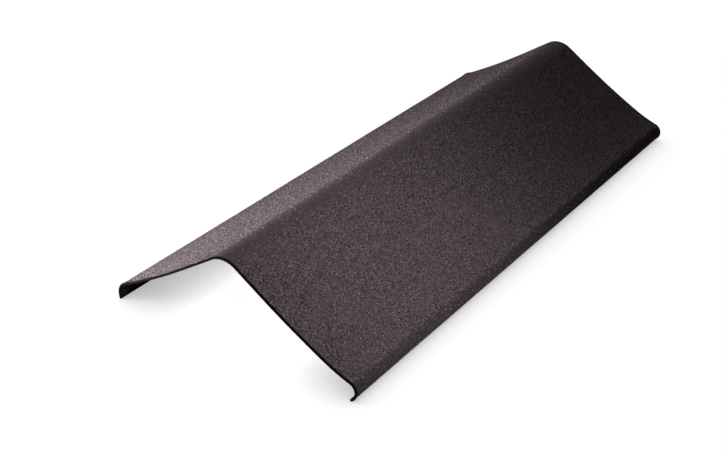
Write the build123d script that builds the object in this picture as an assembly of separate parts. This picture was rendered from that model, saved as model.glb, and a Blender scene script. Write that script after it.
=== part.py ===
"""Verge flashing for a sheet roof: one moulded sheet of bituminous fibre board.

The sheet is folded over a rounded ridge into two leaves. Each leaf falls straight from the ridge, bows a little
outwards, flares and ends in a rolled lip that turns down. The section is the same from end to end, and the piece
stands on its two lips. X runs across the leaves, Y along the ridge and Z up; the origin is on the floor, in the
middle of the piece.
"""

import math
import os
from typing import NamedTuple

from build123d import *

# Driving dimensions, in millimetres and degrees, taken on the weather face
LENGTH = 1000.0
SHEET = 4.0
RIDGE_ANGLE = 113.0
RIDGE_RADIUS = 42.0
ROOF_LEAF_PLAIN_WIDTH = 45.0
BOW_ANGLE = 5.5
BOW_RADIUS = 1400.0
EDGE_ROUNDING = 0.8


class Lip(NamedTuple):
    """The edge of a leaf: it flares outwards, then rolls down over a nose."""

    flare_angle: float
    flare_radius: float
    nose_angle: float
    nose_radius: float


ROOF_LIP = Lip(flare_angle=10.0, flare_radius=250.0, nose_angle=137.0, nose_radius=17.5)
VERGE_LIP = Lip(flare_angle=10.0, flare_radius=60.0, nose_angle=94.0, nose_radius=27.0)

LEAF_FALL = (180.0 - RIDGE_ANGLE) / 2


def leaf_line(plain_width, lip, depth):
    """A leaf's line at a depth under the weather face, from the middle of the ridge out to the tip of its lip."""
    ridge = JernArc((0, -depth), (1, 0), RIDGE_RADIUS - depth, -LEAF_FALL)
    plain = Line(ridge @ 1, ridge @ 1 + plain_width * (ridge % 1))
    bow = JernArc(plain @ 1, plain % 1, BOW_RADIUS + depth, BOW_ANGLE)
    flare = JernArc(bow @ 1, bow % 1, lip.flare_radius + depth, lip.flare_angle)
    nose = JernArc(flare @ 1, flare % 1, lip.nose_radius - depth, -lip.nose_angle)
    return [ridge, plain, bow, flare, nose]


def leaf_section(plain_width, lip):
    """The sheet's section from the middle of the ridge to the tip of one lip, whose edges are rounded."""
    weather_line = leaf_line(plain_width, lip, 0.0)
    under_line = leaf_line(plain_width, lip, SHEET)
    tip = Line(weather_line[-1] @ 1, under_line[-1] @ 1)
    middle = Line(weather_line[0] @ 0, under_line[0] @ 0)
    section = make_face(weather_line + under_line + [tip, middle])
    tip_corners = section.vertices().sort_by_distance(tip @ 0.5)[:2]
    return fillet(tip_corners, EDGE_ROUNDING)


def leaf_drop(plain_width, lip):
    """How far the lowest point of a leaf's lip lies under the top of the ridge."""
    return -leaf_section(plain_width, lip).bounding_box().min.Y


# The verge leaf is as wide as brings both lips down to one level
drop_to_make_up = leaf_drop(ROOF_LEAF_PLAIN_WIDTH, ROOF_LIP) - leaf_drop(ROOF_LEAF_PLAIN_WIDTH, VERGE_LIP)
verge_leaf_plain_width = ROOF_LEAF_PLAIN_WIDTH + drop_to_make_up / math.sin(math.radians(LEAF_FALL))

roof_leaf = leaf_section(ROOF_LEAF_PLAIN_WIDTH, ROOF_LIP)
verge_leaf = mirror(leaf_section(verge_leaf_plain_width, VERGE_LIP), about=Plane.YZ)
sheet_section = roof_leaf + verge_leaf

flashing = extrude(Plane.XZ * sheet_section, LENGTH / 2, both=True)
box = flashing.bounding_box()
flashing = Pos(-box.center().X, -box.center().Y, -box.min.Z) * flashing

os.makedirs("parts", exist_ok=True)
export_step(flashing, "parts/verge_flashing.step")
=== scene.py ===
import math

import bpy
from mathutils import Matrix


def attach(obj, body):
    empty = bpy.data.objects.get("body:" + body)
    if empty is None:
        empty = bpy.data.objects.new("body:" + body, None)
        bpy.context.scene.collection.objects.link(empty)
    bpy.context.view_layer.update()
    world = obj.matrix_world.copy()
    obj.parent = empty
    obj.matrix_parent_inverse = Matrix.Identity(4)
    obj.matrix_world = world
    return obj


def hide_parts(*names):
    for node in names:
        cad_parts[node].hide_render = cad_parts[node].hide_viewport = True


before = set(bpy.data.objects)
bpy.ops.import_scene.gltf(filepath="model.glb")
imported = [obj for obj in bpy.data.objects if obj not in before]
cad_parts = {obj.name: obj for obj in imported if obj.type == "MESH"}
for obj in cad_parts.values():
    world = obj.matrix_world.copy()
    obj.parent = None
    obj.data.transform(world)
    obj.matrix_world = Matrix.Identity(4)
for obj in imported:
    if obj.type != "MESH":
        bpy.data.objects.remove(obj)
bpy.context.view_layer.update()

# Folded sheet
# A flat blank of waste-paper fibre board, soaked with hot bitumen, pressed over a former into a ridge, two
# leaves and two rolled lips, and sawn to length. Its weather face has a thin brown-grey mineral coat with
# granules rolled into it. The underside is bare board, and the cut edges are black with bitumen.


class Wire:
    """One socket of a node tree. A sum of wires adds its Math nodes to that tree."""

    def __init__(self, socket):
        self.socket = socket

    def beside(self, output):
        """Another output of the same node."""
        return Wire(self.socket.node.outputs[output])

    def maths(self, operation, *values):
        """The result of a Math node in this wire's tree."""
        return add(self.socket.id_data, "ShaderNodeMath", {"operation": operation}, dict(enumerate(values)))

    def __add__(self, other):
        return self.maths("ADD", self, other)

    def __radd__(self, other):
        return self.maths("ADD", other, self)

    def __sub__(self, other):
        return self.maths("SUBTRACT", self, other)

    def __rsub__(self, other):
        return self.maths("SUBTRACT", other, self)

    def __mul__(self, other):
        return self.maths("MULTIPLY", self, other)

    def __rmul__(self, other):
        return self.maths("MULTIPLY", other, self)

    def __truediv__(self, other):
        return self.maths("DIVIDE", self, other)

    def __gt__(self, other):
        return self.maths("GREATER_THAN", self, other)

    def __lt__(self, other):
        return self.maths("LESS_THAN", self, other)

    def __neg__(self):
        return self.maths("SUBTRACT", 0, self)

    def __abs__(self):
        return self.maths("ABSOLUTE", self)

    def at_least(self, other):
        return self.maths("MAXIMUM", self, other)

    def at_most(self, other):
        return self.maths("MINIMUM", self, other)

    def sign(self):
        return self.maths("SIGN", self)

    def square_root(self):
        return self.maths("SQRT", self)

    def sine(self):
        return self.maths("SINE", self)

    def cosine(self):
        return self.maths("COSINE", self)

    def ramp(self, low, high):
        """0 under low and 1 over high, with a smooth step between them."""
        return add(
            self.socket.id_data,
            "ShaderNodeMapRange",
            {"interpolation_type": "SMOOTHSTEP"},
            {"Value": self, "From Min": low, "From Max": high},
        )


def add(tree, kind, settings, values, output=0):
    """Adds a node, sets it, fills or links its inputs, and returns one of its outputs, where it has any."""
    node = tree.nodes.new(kind)
    for name, value in settings.items():
        setattr(node, name, value)
    for name, value in values.items():
        if isinstance(value, Wire):
            tree.links.new(value.socket, node.inputs[name])
        else:
            node.inputs[name].default_value = value
    return Wire(node.outputs[output]) if node.outputs else None


def colour(red, green, blue):
    """A colour given as it looks on a screen, 0 to 255, in the linear values that sockets take."""
    channels = [value / 255 for value in (red, green, blue)]
    linear = [c / 12.92 if c <= 0.04045 else ((c + 0.055) / 1.055) ** 2.4 for c in channels]
    return (*linear, 1.0)


def blend_colours(tree, share, first, second):
    """Two colours mixed by a share of the second."""
    values = {"Factor": share, 6: first, 7: second}
    return add(tree, "ShaderNodeMix", {"data_type": "RGBA"}, values, output=2)


def noise(tree, place, scale, detail, roughness=0.5):
    """Even noise from 0 to 1, with its scale in waves to the metre."""
    values = {"Vector": place, "Scale": scale, "Detail": detail, "Roughness": roughness}
    return add(tree, "ShaderNodeTexNoise", {}, values)


def vector(tree, **parts):
    """A vector put together from its X, Y and Z."""
    return add(tree, "ShaderNodeCombineXYZ", {}, parts)


bitumen_board = bpy.data.materials.new("bitumen_board")
bitumen_board.use_nodes = True
board = bitumen_board.node_tree
board_surface = board.nodes["Principled BSDF"]
board_surface.inputs["Specular IOR Level"].default_value = 0.05
board_place = add(board, "ShaderNodeTexCoord", {}, {}, output="Object")


def board_mark(name):
    """A value that the sheet carries under a name, for its material."""
    return add(board, "ShaderNodeAttribute", {"attribute_name": name}, {}, output="Fac")


# The coat takes up the grain of the felted fibres and drifts in tone over the sheet
felt_share = 0.4
grain_band = (0.41, 0.59)
drift_share = 0.3
drift_band = (0.35, 0.7)
coat_hollow = colour(28, 23, 24)
coat_crest = colour(106, 94, 97)
coat_drift = colour(84, 73, 75)
felt = noise(board, board_place, scale=240, detail=4, roughness=0.7)
grit = noise(board, board_place, scale=600, detail=2, roughness=0.6)
drift = noise(board, board_place, scale=14, detail=3)
grain = felt_share * felt + (1 - felt_share) * grit
crests = grain.ramp(*grain_band)
coat = blend_colours(board, crests, coat_hollow, coat_crest)
coat = blend_colours(board, drift_share * drift.ramp(*drift_band), coat, coat_drift)

# Small dark pits, where a granule has come away
pit_share = 0.16
pit_band = (0.15, 0.45)
pit_tint = 0.7
pit_depth = 0.5
pit_colour = colour(20, 16, 16)
pit_cells = {"Vector": board_place, "Scale": 340, "Randomness": 1.0}
pit_reach = add(board, "ShaderNodeTexVoronoi", {"voronoi_dimensions": "3D"}, pit_cells, output="Distance")
pit_lot = add(board, "ShaderNodeSeparateColor", {}, {"Color": pit_reach.beside("Color")})
pit = (pit_lot > 1 - pit_share) * (1 - pit_reach.ramp(*pit_band))
coat = blend_colours(board, pit_tint * pit, coat, pit_colour)

# The coat is drawn thin and smooth over the ridge; the rolled lips are darker, partly with painted shade
ridge_band = (0.008, 0.03)
ridge_tint = 0.55
ridge_colour = colour(72, 62, 64)
# Painted shade with a thinner coat: the noses of the lips turn away from the light and are darkened
lip_band = (0.033, 0.04)
lip_thin_coat_and_shade_tint = 0.5
lip_thin_coat_and_shade_colour = colour(44, 37, 38)
coat = blend_colours(board, ridge_tint * (1 - board_mark("ridge").ramp(*ridge_band)), coat, ridge_colour)
coat = blend_colours(board, lip_thin_coat_and_shade_tint * (1 - board_mark("lip").ramp(*lip_band)), coat, lip_thin_coat_and_shade_colour)

# Granules from nearly black to pale grey
granule_tones = (0.3, 1)
dark_granule = colour(30, 25, 26)
pale_granule = colour(172, 157, 160)
granule_tone = board_mark("granule")
granule_colour = blend_colours(board, granule_tone.ramp(*granule_tones), dark_granule, pale_granule)
coat = blend_colours(board, granule_tone > 0, coat, granule_colour)

# Bare board on the underside; black bitumen on the cut edges and along the rim, where the coat has worn off
rim_band = (0.0028, 0.0036)
rim_fray = 0.001
cut_band = (0.3, 0.7)
board_hollow = colour(17, 14, 13)
board_crest = colour(52, 45, 42)
cut_hollow = colour(2, 1, 1)
cut_crest = colour(9, 7, 6)
bare_board = blend_colours(board, crests, board_hollow, board_crest)
cut_board = blend_colours(board, grit.ramp(*cut_band), cut_hollow, cut_crest)
worn_rim = 1 - (board_mark("rim") - rim_fray * felt).ramp(*rim_band)
faces = blend_colours(board, board_mark("underside"), coat, bare_board)
finish = blend_colours(board, board_mark("cut").at_least(worn_rim), faces, cut_board)
board.links.new(finish.socket, board_surface.inputs["Base Color"])

least_roughness = 0.78
grain_roughness = 0.16
bumps = {"Strength": 1.0, "Distance": 0.001, "Height": grain - pit_depth * pit}
board.links.new((least_roughness + grain_roughness * grain).socket, board_surface.inputs["Roughness"])
board.links.new(add(board, "ShaderNodeBump", {}, bumps).socket, board_surface.inputs["Normal"])

# Sizes of the sheet on its weather face, in metres and radians
fold_sizes = {
    "Length": 1.0,
    "Thickness": 0.004,
    "Ridge radius": 0.042,
    "Ridge turn": math.radians(33.5),
    "Bow radius": 1.4,
    "Bow turn": math.radians(5.5),
    "Roof plain width": 0.045,
    "Roof flare radius": 0.25,
    "Roof flare turn": math.radians(10),
    "Roof nose radius": 0.0175,
    "Roof nose turn": math.radians(137),
    "Verge plain width": 0.06242,
    "Verge flare radius": 0.06,
    "Verge flare turn": math.radians(10),
    "Verge nose radius": 0.027,
    "Verge nose turn": math.radians(94),
    "Edge rounding": 0.0008,
    "Saw raggedness": 0.0005,
    "Unevenness": 0.0006,
    "Granule height": 0.0009,
    "Granules to the square metre": 36000,
    "Seed": 7.3,
}
fold = bpy.data.node_groups.new("folded_sheet", "GeometryNodeTree")
fold.is_modifier = True
size_ids = {}
for name in fold_sizes:
    socket = fold.interface.new_socket(name, in_out="INPUT", socket_type="NodeSocketFloat")
    size_ids[name] = socket.identifier
board_id = fold.interface.new_socket("Board", in_out="INPUT", socket_type="NodeSocketMaterial").identifier
fold.interface.new_socket("Sheet", in_out="OUTPUT", socket_type="NodeSocketGeometry")
given = add(fold, "NodeGroupInput", {}, {})


def size(name):
    """One of the sheet's sizes."""
    return given.beside(name)


def arc_width(part):
    """The flat width of a rounded part of the sheet."""
    return size(part + " radius") * size(part + " turn")


def leaf_width(leaf):
    """The flat width of a leaf, from the middle of the ridge to the tip of its lip."""
    return (
        arc_width("Ridge")
        + size(leaf + " plain width")
        + arc_width("Bow")
        + arc_width(leaf + " flare")
        + arc_width(leaf + " nose")
    )


def with_mark(shape, domain, name, value, kind="FLOAT"):
    """The shape with a value put on it under a name."""
    settings = {"data_type": kind, "domain": domain}
    values = {"Geometry": shape, "Name": name, "Value": value}
    return add(fold, "GeometryNodeStoreNamedAttribute", settings, values)


def mark(name, kind="FLOAT"):
    """A value that the shape carries under a name."""
    return add(fold, "GeometryNodeInputNamedAttribute", {"data_type": kind}, {"Name": name})


def without_mark(shape, name):
    """The shape with the value under a name taken off."""
    return add(fold, "GeometryNodeRemoveAttribute", {}, {"Geometry": shape, "Name": name})


def over_face(value):
    """A value of a face's middle, given to all of its corners."""
    return add(fold, "GeometryNodeFieldOnDomain", {"data_type": "FLOAT", "domain": "FACE"}, {"Value": value})


# The blank as a block of unit size, with its rows set closer towards the sawn ends
blank_grid = {"Size": (1, 1, 1), "Vertices X": 240, "Vertices Y": 60, "Vertices Z": 5}
blank = add(fold, "GeometryNodeMeshCube", {}, blank_grid)
blank_place = add(fold, "GeometryNodeInputPosition", {}, {})
across = add(fold, "ShaderNodeSeparateXYZ", {}, {"Vector": blank_place})
along = 0.5 * (math.pi * across.beside("Y")).sine()
through = across.beside("Z")
blank_normal = add(fold, "GeometryNodeInputNormal", {}, {})
facing = add(fold, "ShaderNodeSeparateXYZ", {}, {"Vector": blank_normal})
sheet = with_mark(blank, "FACE", "underside", facing.beside("Z") < -0.5)
sheet = with_mark(sheet, "FACE", "cut", abs(facing.beside("Z")) < 0.5)

# The blank cut to size: its station is counted from the ridge out to the lips, its level from the middle of
# its length to the ends, which the saw leaves a little ragged
thickness = size("Thickness")
rounding = size("Edge rounding")
roof_width = leaf_width("Roof")
verge_width = leaf_width("Verge")
sheet_width = roof_width + verge_width
into_edge = (abs(through) * thickness - (0.5 * thickness - rounding)).at_least(0) / rounding
inset = rounding * (1 - (1 - into_edge * into_edge).square_root())
station = (across + 0.5) * sheet_width - verge_width
station = station.at_least(inset - verge_width).at_most(roof_width - inset)
saw_line = vector(fold, X=station, Y=along, Z=size("Seed"))
saw_marks = noise(fold, saw_line, scale=160, detail=3)
half_length = 0.5 * size("Length") - inset - size("Saw raggedness") * saw_marks
level = (along * size("Length")).at_least(-half_length).at_most(half_length)
to_tip = (roof_width - station).at_most(station + verge_width)
to_edge = to_tip.at_most(0.5 * size("Length") - abs(level))
sheet = with_mark(sheet, "POINT", "rim", to_edge)
sheet = with_mark(sheet, "POINT", "ridge", abs(station))
sheet = with_mark(sheet, "POINT", "lip", to_tip)

# The faces laid out flat on a map: the underside beside the weather face, the sawn ends under them, the
# tips at their right
layout_name = "OFBake"
layout_gap = 0.006
layout_margin = 0.001
layout_width = 2 * sheet_width + 6 * layout_gap
face_x = over_face(facing)
face_y = over_face(facing.beside("Y"))
face_z = over_face(facing.beside("Z"))
column = (face_z < -0.5) + (face_y > 0.5)
layer = layout_margin + (through + 0.5) * thickness
layout_x = layout_gap + station + verge_width + column * (sheet_width + layout_gap)
tip_x = 2 * sheet_width + layout_gap * (3 + (face_x > 0.5)) + layer
layout_x = layout_x + (abs(face_x) > 0.5) * (tip_x - layout_x)
layout_y = layout_gap + 0.5 * size("Length") + level
layout_y = layout_y + (abs(face_y) > 0.5) * (layer - layout_y)
layout = vector(fold, X=layout_x / layout_width, Y=layout_y / layout_width)
sheet = with_mark(sheet, "CORNER", layout_name, layout, kind="FLOAT2")

# The cut blank pressed over the former: a leaf's line runs from the top of the ridge to the tip of its lip
on_verge = station < 0


def own_leaf(name):
    """A size of the leaf that a point is on."""
    values = {"Switch": on_verge, "False": size("Roof " + name), "True": size("Verge " + name)}
    return add(fold, "GeometryNodeSwitch", {"input_type": "FLOAT"}, values)


def bend(left, out, up, heading, radius, turn, way):
    """Carries a line on round an arc, up for a way of 1 and down for -1, as far as the width left allows."""
    run = left.at_least(0).at_most(radius * turn)
    new_heading = heading + way * run / radius
    out = out + way * radius * (new_heading.sine() - heading.sine())
    up = up - way * radius * (new_heading.cosine() - heading.cosine())
    return left - run, out, up, new_heading


left = abs(station)
start = 0 * left
left, out, up, heading = bend(left, start, start, start, size("Ridge radius"), size("Ridge turn"), -1)
plain_run = left.at_least(0).at_most(own_leaf("plain width"))
out = out + plain_run * heading.cosine()
up = up + plain_run * heading.sine()
line = bend(left - plain_run, out, up, heading, size("Bow radius"), size("Bow turn"), 1)
line = bend(*line, own_leaf("flare radius"), own_leaf("flare turn"), 1)
line = bend(*line, own_leaf("nose radius"), own_leaf("nose turn"), -1)
out, up, heading = line[1:]

# The weather face lies under the tops of the granules, except at the rim, and the sheet is a little uneven
set_down_band = (0.0005, 0.005)
granule_height = size("Granule height")
set_down = granule_height * to_edge.ramp(*set_down_band)
press_place = vector(fold, X=station, Y=level, Z=size("Seed"))
waves = noise(fold, press_place, scale=7, detail=1)
depth = set_down + (0.5 - through) * (thickness - set_down) + size("Unevenness") * waves
out = out + depth * heading.sine()
up = up - depth * heading.cosine()
pressed_place = vector(fold, X=station.sign() * out, Y=level, Z=up)
sheet = add(fold, "GeometryNodeSetPosition", {}, {"Geometry": sheet, "Position": pressed_place})

# The pressed sheet set down on its lips, in the middle of the floor
lowest = add(fold, "GeometryNodeBoundBox", {}, {"Geometry": sheet}, output="Min")
low_corner = add(fold, "ShaderNodeSeparateXYZ", {}, {"Vector": lowest})
high_corner = add(fold, "ShaderNodeSeparateXYZ", {}, {"Vector": lowest.beside("Max")})
seat = vector(fold, X=-0.5 * (low_corner + high_corner), Z=-low_corner.beside("Z"))
sheet = add(fold, "GeometryNodeSetPosition", {}, {"Geometry": sheet, "Offset": seat})

# Smooth faces that meet in sharp edges at the saw cuts
crease_angle = 0.45
smooth = {"Geometry": sheet, "Shade Smooth": True}
sheet = add(fold, "GeometryNodeSetShadeSmooth", {"domain": "FACE"}, smooth)
crease = add(fold, "GeometryNodeInputMeshEdgeAngle", {}, {}) > crease_angle
creases = {"Geometry": sheet, "Selection": crease, "Shade Smooth": False}
sheet = add(fold, "GeometryNodeSetShadeSmooth", {"domain": "EDGE"}, creases)


def chance(low, high, seed):
    """A number between two others, drawn for each granule."""
    values = {2: low, 3: high, "Seed": seed}
    return add(fold, "FunctionNodeRandomValue", {"data_type": "FLOAT"}, values, output=1)


# Granules strewn over the weather face, fewer of them on the ridge and the lips and none along the rim
granule_margin = 0.0045
fewest_share = 0.3
weather = (mark("underside") + mark("cut") < 0.5) * (mark("rim") > granule_margin)
open_leaf = mark("ridge").ramp(*ridge_band) * mark("lip").ramp(*lip_band)
crowding = size("Granules to the square metre") * (fewest_share + (1 - fewest_share) * open_leaf)
strewing = {"Mesh": sheet, "Selection": weather, "Density": crowding, "Seed": 3}
spots = add(fold, "GeometryNodeDistributePointsOnFaces", {"distribute_method": "RANDOM"}, strewing)

# A granule is a blunt four-sided point, sunk into the coat, with its sizes in granule heights
granule_shape = {"Vertices": 4, "Radius Bottom": 1.6, "Radius Top": 0, "Depth": 1.3}
granule_sink = (0, 0, -0.3)
granule = add(fold, "GeometryNodeMeshCone", {}, granule_shape)
granule = add(fold, "GeometryNodeTransform", {}, {"Geometry": granule, "Translation": granule_sink})
granule = add(fold, "GeometryNodeSetShadeSmooth", {}, {"Geometry": granule, "Shade Smooth": True})
granule_place = add(fold, "GeometryNodeInputPosition", {}, {})
granule = with_mark(granule, "POINT", "facet", granule_place, kind="FLOAT_VECTOR")
spin = {"Rotation": spots.beside("Rotation"), "Rotate By": vector(fold, Z=chance(0, math.tau, seed=1))}
spun = add(fold, "FunctionNodeRotateRotation", {"rotation_space": "LOCAL"}, spin)
granule_scale = granule_height * chance(0.5, 1, seed=2)
laid = {"Points": spots, "Instance": granule, "Rotation": spun, "Scale": granule_scale}
granules = add(fold, "GeometryNodeInstanceOnPoints", {}, laid)
granules = with_mark(granules, "INSTANCE", "granule", chance(*granule_tones, seed=4))
granules = without_mark(without_mark(granules, "underside"), "cut")
granules = add(fold, "GeometryNodeRealizeInstances", {}, {"Geometry": granules})

# Each granule has a small patch of the layout, round the spot that it lies on
patch_share = 0.75
patch_scale = patch_share * granule_height / layout_width
facet_place = {"Vector": mark("facet", "FLOAT_VECTOR"), "Scale": patch_scale}
from_spot = add(fold, "ShaderNodeVectorMath", {"operation": "SCALE"}, facet_place)
spot_and_reach = {0: mark(layout_name, "FLOAT_VECTOR"), 1: from_spot}
patch = add(fold, "ShaderNodeVectorMath", {"operation": "ADD"}, spot_and_reach)
granules = with_mark(granules, "CORNER", layout_name, patch, kind="FLOAT2")
granules = without_mark(granules, "facet")

coated = add(fold, "GeometryNodeJoinGeometry", {}, {"Geometry": sheet})
fold.links.new(granules.socket, coated.socket.node.inputs["Geometry"])
coated = add(fold, "GeometryNodeRealizeInstances", {}, {"Geometry": coated})
coated = add(fold, "GeometryNodeSetMaterial", {}, {"Geometry": coated, "Material": given.beside("Board")})
add(fold, "NodeGroupOutput", {}, {"Sheet": coated})

blank_object = bpy.data.objects.new("blank", bpy.data.meshes.new("blank"))
bpy.context.collection.objects.link(blank_object)
press = blank_object.modifiers.new("press", "NODES")
press.node_group = fold
for name, value in fold_sizes.items():
    press[size_ids[name]] = value
press[board_id] = bitumen_board
pressed = blank_object.evaluated_get(bpy.context.evaluated_depsgraph_get())
folded_sheet = bpy.data.objects.new("folded_sheet", bpy.data.meshes.new_from_object(pressed))
bpy.context.collection.objects.link(folded_sheet)
bpy.data.objects.remove(blank_object)
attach(folded_sheet, "root")
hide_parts("verge_flashing")

# Floor
# A wide studio floor of matt white paper, level with the lips that the sheet stands on. It shows white and
# has a painted soft shadow close to the sheet, greyer where the sheet is near.
floor_width = 14
shadow_reach = 0.07
painted_shadow_colour = colour(160, 158, 164)
white = (1, 1, 1, 1)
paper_grey = (0.8, 0.8, 0.8, 1)
glow_strength = 1.1
glow_share = 0.9
floor_paper = bpy.data.materials.new("floor_paper")
floor_paper.use_nodes = True
paper = floor_paper.node_tree
paper_surface = paper.nodes["Principled BSDF"]
paper_surface.inputs["Base Color"].default_value = paper_grey
paper_surface.inputs["Roughness"].default_value = 0.9
# Painted shadow: the floor's glow is greyed where the sheet is close by
openness = add(paper, "ShaderNodeAmbientOcclusion", {"samples": 8}, {"Distance": shadow_reach}, output="AO")
shade = blend_colours(paper, openness, painted_shadow_colour, white)
glow = add(paper, "ShaderNodeEmission", {}, {"Color": shade, "Strength": glow_strength})
floor_seen = add(paper, "ShaderNodeLightPath", {}, {}, output="Is Camera Ray")
paper_and_glow = {0: glow_share * floor_seen, 1: Wire(paper_surface.outputs[0]), 2: glow}
lit_paper = add(paper, "ShaderNodeMixShader", {}, paper_and_glow)
paper.links.new(lit_paper.socket, paper.nodes["Material Output"].inputs["Surface"])
bpy.ops.mesh.primitive_plane_add(size=floor_width)
floor = bpy.context.object
floor.name = "floor"
floor.data.materials.append(floor_paper)

# Light and camera
# Two soft lamps stand at the left, one of them low beside the near end. Two stand over the near half of the
# right leaf, and a wide one is high up behind the far end. The studio's white walls give little light. The
# camera looks down along the ridge from the right.


def soft_lamp(name, stand, aim, width, watts, spread=180):
    """A square soft lamp at a place, turned towards another, with the spread of its beam in degrees."""
    lamp = bpy.data.lights.new(name, "AREA")
    lamp.size = width
    lamp.energy = watts
    lamp.spread = math.radians(spread)
    lamp_object = bpy.data.objects.new(name, lamp)
    lamp_object.location = stand
    towards = [b - a for a, b in zip(stand, aim)]
    reach = math.hypot(towards[0], towards[1])
    lamp_object.rotation_euler = (math.atan2(reach, -towards[2]), 0, math.atan2(-towards[0], towards[1]))
    bpy.context.collection.objects.link(lamp_object)


soft_lamp("left_lamp", (-0.6, -0.75, 0.12), aim=(-0.15, -0.4, 0.08), width=0.2, watts=4.2, spread=100)
soft_lamp("side_lamp", (-0.9, 0, 0.35), aim=(-0.1, 0, 0.1), width=0.4, watts=0.7, spread=70)
soft_lamp("right_lamp", (0.55, -0.8, 0.9), aim=(0.1, -0.3, 0.08), width=0.4, watts=0.75, spread=60)
soft_lamp("near_lamp", (0.75, -0.3, 0.65), aim=(0.1, -0.25, 0.08), width=0.4, watts=0.5, spread=60)
soft_lamp("back_lamp", (-1.2, 1.2, 1.5), aim=(0, 0.2, 0.1), width=1.2, watts=21)

wall_light = 0.015
world = bpy.data.worlds.new("studio")
bpy.context.scene.world = world
world.use_nodes = True
studio = world.node_tree
studio_wall = studio.nodes["Background"]
studio_wall.inputs["Color"].default_value = white
wall_seen = add(studio, "ShaderNodeLightPath", {}, {}, output="Is Camera Ray")
wall_strength = wall_light + (1 - wall_light) * wall_seen
studio.links.new(wall_strength.socket, studio_wall.inputs["Strength"])

camera_turn = (60.017, -0.189, 35.368)
camera = bpy.data.cameras.new("camera")
camera.lens = 61.43
camera.sensor_width = 36
camera_object = bpy.data.objects.new("camera", camera)
camera_object.location = (0.9923, -1.5762, 1.0386)
camera_object.rotation_euler = [math.radians(angle) for angle in camera_turn]
bpy.context.collection.objects.link(camera_object)
bpy.context.scene.camera = camera_object
bpy.context.scene.view_settings.view_transform = "Standard"
